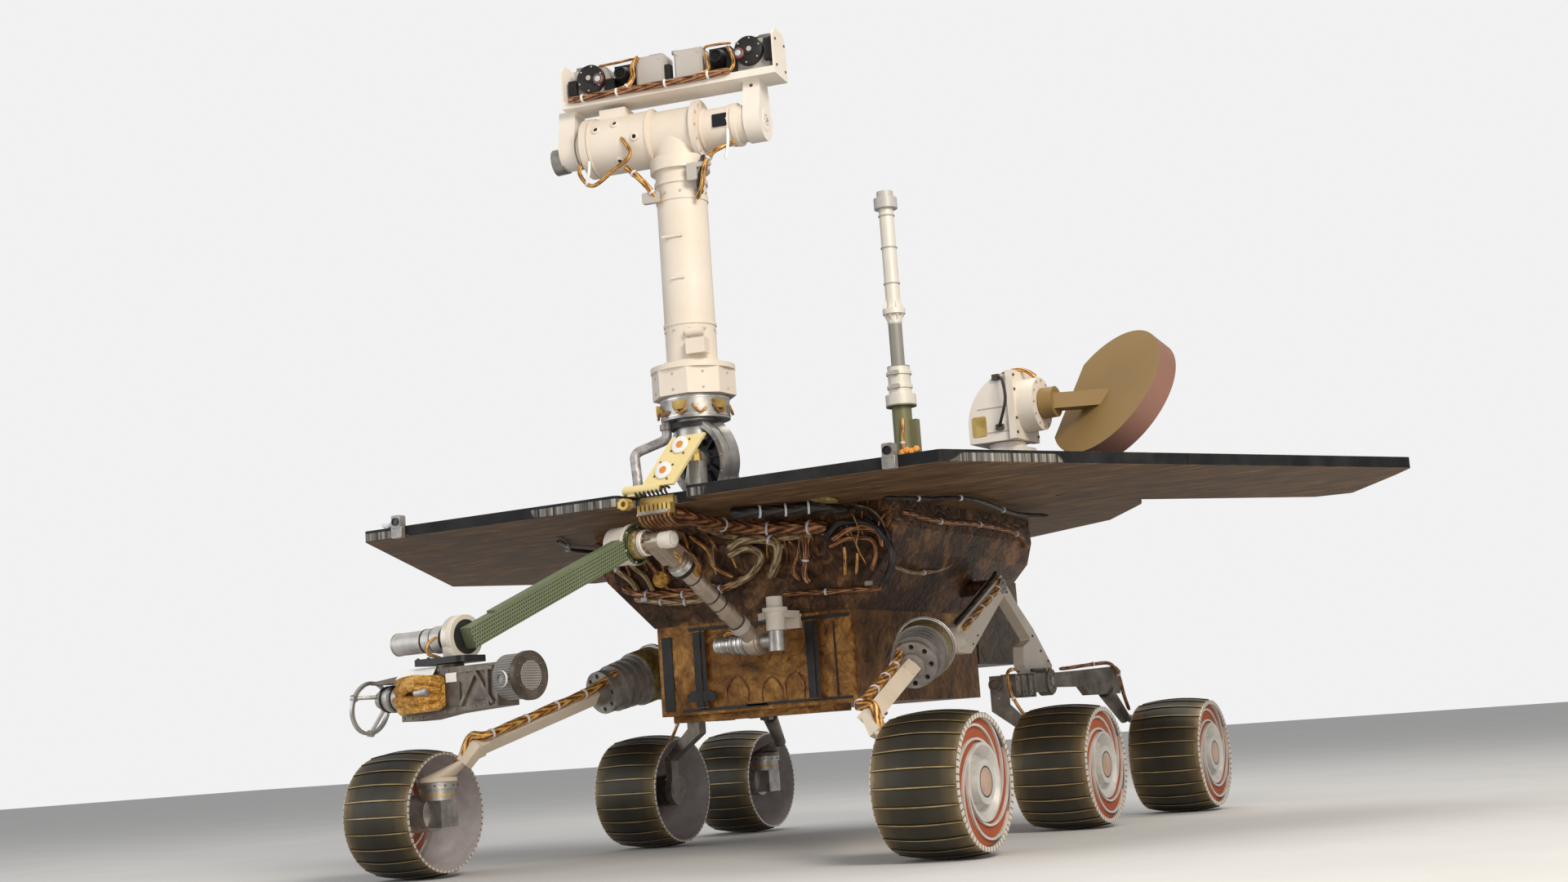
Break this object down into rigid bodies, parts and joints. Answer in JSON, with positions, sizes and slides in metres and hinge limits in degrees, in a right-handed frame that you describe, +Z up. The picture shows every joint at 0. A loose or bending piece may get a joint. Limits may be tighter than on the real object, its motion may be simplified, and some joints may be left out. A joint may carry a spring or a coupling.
{
  "type": "planetary rover",
  "caption": "Six-wheeled rocker-bogie rover with a flat winged deck, a tall camera mast, a gimballed dish aerial and a folding tool arm.",
  "frame": {"origin": "on the ground, below the middle of the rover's whole outline", "axes": "+Z up, front toward -Y, +X to port"},
  "size_m": [2.399, 1.9154, 1.562],
  "materials": {
    "wheel_metal": "satin dark anodised",
    "foam": "matt",
    "silver": "satin",
    "dark_metal": "satin",
    "cream_paint": "satin",
    "foil": "crinkled gold film",
    "solar_black": "smooth",
    "white_paint": "satin",
    "dish_tan": "matt",
    "yellow_plate": "satin",
    "olive_panel": "satin",
    "gold_metal": "satin",
    "arm_green": "satin"
  },
  "bodies": {
    "chassis": {"front_strut_port": "cream_paint", "strut_actuator_port": "silver", "rocker_port": "cream_paint", "bogie_port": "dark_metal", "mid_drive_port": "silver", "wing_port": "solar_black", "front_strut_starboard": "cream_paint", "strut_actuator_starboard": "silver", "rocker_starboard": "cream_paint", "bogie_starboard": "dark_metal", "mid_drive_starboard": "silver", "wing_starboard": "solar_black", "body_box": "foil", "body_shell": "foil", "rear_box": "olive_panel", "deck_connectors": "gold_metal", "mast_hose": "dark_metal", "deck_centre": "solar_black", "aft_panel": "solar_black", "mast_pedestal": "silver", "magnet_plate": "yellow_plate", "low_gain_aerial": "white_paint", "dish_pedestal": "white_paint", "arm_bracket": "white_paint"},
    "front_wheel_port": {"wheel_front_port": "wheel_metal", "wheel_front_foam_port": "foam"},
    "front_steering_port": {"steering_front_port": "silver"},
    "front_wheel_starboard": {"wheel_front_starboard": "wheel_metal", "wheel_front_foam_starboard": "foam"},
    "front_steering_starboard": {"steering_front_starboard": "silver"},
    "mid_wheel_port": {"wheel_mid_port": "wheel_metal", "wheel_mid_foam_port": "foam"},
    "mid_wheel_starboard": {"wheel_mid_starboard": "wheel_metal", "wheel_mid_foam_starboard": "foam"},
    "rear_wheel_port": {"wheel_rear_port": "wheel_metal", "wheel_rear_foam_port": "foam"},
    "rear_steering_port": {"steering_rear_port": "silver"},
    "rear_wheel_starboard": {"wheel_rear_starboard": "wheel_metal", "wheel_rear_foam_starboard": "foam"},
    "rear_steering_starboard": {"steering_rear_starboard": "silver"},
    "mast_turning": {"mast": "white_paint"},
    "camera_head": {"camera_bar": "white_paint", "panorama_cameras": "dark_metal", "navigation_cameras": "dark_metal", "camera_electronics": "silver"},
    "dish_turntable": {"dish_gimbal": "white_paint"},
    "dish_swing": {"dish": "dish_tan"},
    "arm_azimuth": {"arm_shoulder": "silver"},
    "arm_upper": {"upper_arm": "silver"},
    "arm_fore": {"forearm": "arm_green"},
    "arm_wrist": {"wrist": "silver"},
    "arm_turret": {"turret": "dark_metal", "foil_wrap": "foil", "grinder": "silver", "sensor_head": "silver"}
  },
  "joints": [
    {"name": "front_port_steer", "type": "hinge", "parent": "chassis", "child": "front_steering_port", "pos_m": [0.508, -0.4953, 0.183], "axis": [0, 0, 1], "range_deg": [-50, 25]},
    {"name": "front_port_spin", "type": "hinge", "parent": "front_steering_port", "child": "front_wheel_port", "pos_m": [0.57, -0.4953, 0.125], "axis": [1, 0, 0], "continuous": true},
    {"name": "front_starboard_steer", "type": "hinge", "parent": "chassis", "child": "front_steering_starboard", "pos_m": [-0.508, -0.4953, 0.183], "axis": [0, 0, -1], "range_deg": [-50, 25]},
    {"name": "front_starboard_spin", "type": "hinge", "parent": "front_steering_starboard", "child": "front_wheel_starboard", "pos_m": [-0.57, -0.4953, 0.125], "axis": [1, 0, 0], "continuous": true},
    {"name": "mid_port_spin", "type": "hinge", "parent": "chassis", "child": "mid_wheel_port", "pos_m": [0.503, 0.2577, 0.125], "axis": [1, 0, 0], "continuous": true},
    {"name": "mid_starboard_spin", "type": "hinge", "parent": "chassis", "child": "mid_wheel_starboard", "pos_m": [-0.503, 0.2577, 0.125], "axis": [1, 0, 0], "continuous": true},
    {"name": "rear_port_steer", "type": "hinge", "parent": "chassis", "child": "rear_steering_port", "pos_m": [0.504, 0.7707, 0.183], "axis": [0, 0, 1], "range_deg": [-25, 50]},
    {"name": "rear_port_spin", "type": "hinge", "parent": "rear_steering_port", "child": "rear_wheel_port", "pos_m": [0.566, 0.7707, 0.125], "axis": [1, 0, 0], "continuous": true},
    {"name": "rear_starboard_steer", "type": "hinge", "parent": "chassis", "child": "rear_steering_starboard", "pos_m": [-0.504, 0.7707, 0.183], "axis": [0, 0, -1], "range_deg": [-25, 50]},
    {"name": "rear_starboard_spin", "type": "hinge", "parent": "rear_steering_starboard", "child": "rear_wheel_starboard", "pos_m": [-0.566, 0.7707, 0.125], "axis": [1, 0, 0], "continuous": true},
    {"name": "mast_pan", "type": "hinge", "parent": "chassis", "child": "mast_turning", "pos_m": [0.062, -0.3823, 0.872], "axis": [0, 0, 1], "range_deg": [-175, 175]},
    {"name": "camera_tilt", "type": "hinge", "parent": "mast_turning", "child": "camera_head", "pos_m": [0.062, -0.3823, 1.394], "axis": [0.9826, 0.1857, 0], "range_deg": [-90, 90]},
    {"name": "dish_azimuth", "type": "hinge", "parent": "chassis", "child": "dish_turntable", "pos_m": [0.533, 0.0077, 0.76], "axis": [0, 0, 1], "range_deg": [-100, 100]},
    {"name": "dish_elevation", "type": "hinge", "parent": "dish_turntable", "child": "dish_swing", "pos_m": [0.576, 0.0077, 0.828], "axis": [1, 0, 0], "range_deg": [-55, 20]},
    {"name": "arm_azimuth", "type": "hinge", "parent": "chassis", "child": "arm_azimuth", "pos_m": [0.09649, -0.18954, 0.43], "axis": [0, 0, -1], "range_deg": [-60, 9]},
    {"name": "arm_elevation", "type": "hinge", "parent": "arm_azimuth", "child": "arm_upper", "pos_m": [0.045, -0.1823, 0.412], "axis": [0.9903, -0.1392, 0], "range_deg": [-1, 10]},
    {"name": "arm_elbow", "type": "hinge", "parent": "arm_upper", "child": "arm_fore", "pos_m": [-0.06795, -0.44706, 0.60086], "axis": [0.9903, -0.1392, 0], "range_deg": [-20, 45]},
    {"name": "arm_wrist", "type": "hinge", "parent": "arm_fore", "child": "arm_wrist", "pos_m": [-0.14207, -0.8667, 0.42966], "axis": [-0.9903, 0.1392, 0], "range_deg": [-50, 90]},
    {"name": "arm_turret", "type": "hinge", "parent": "arm_wrist", "child": "arm_turret", "pos_m": [-0.15036, -0.88977, 0.38366], "axis": [0, 0, 1], "range_deg": [-175, 175]}
  ]
}
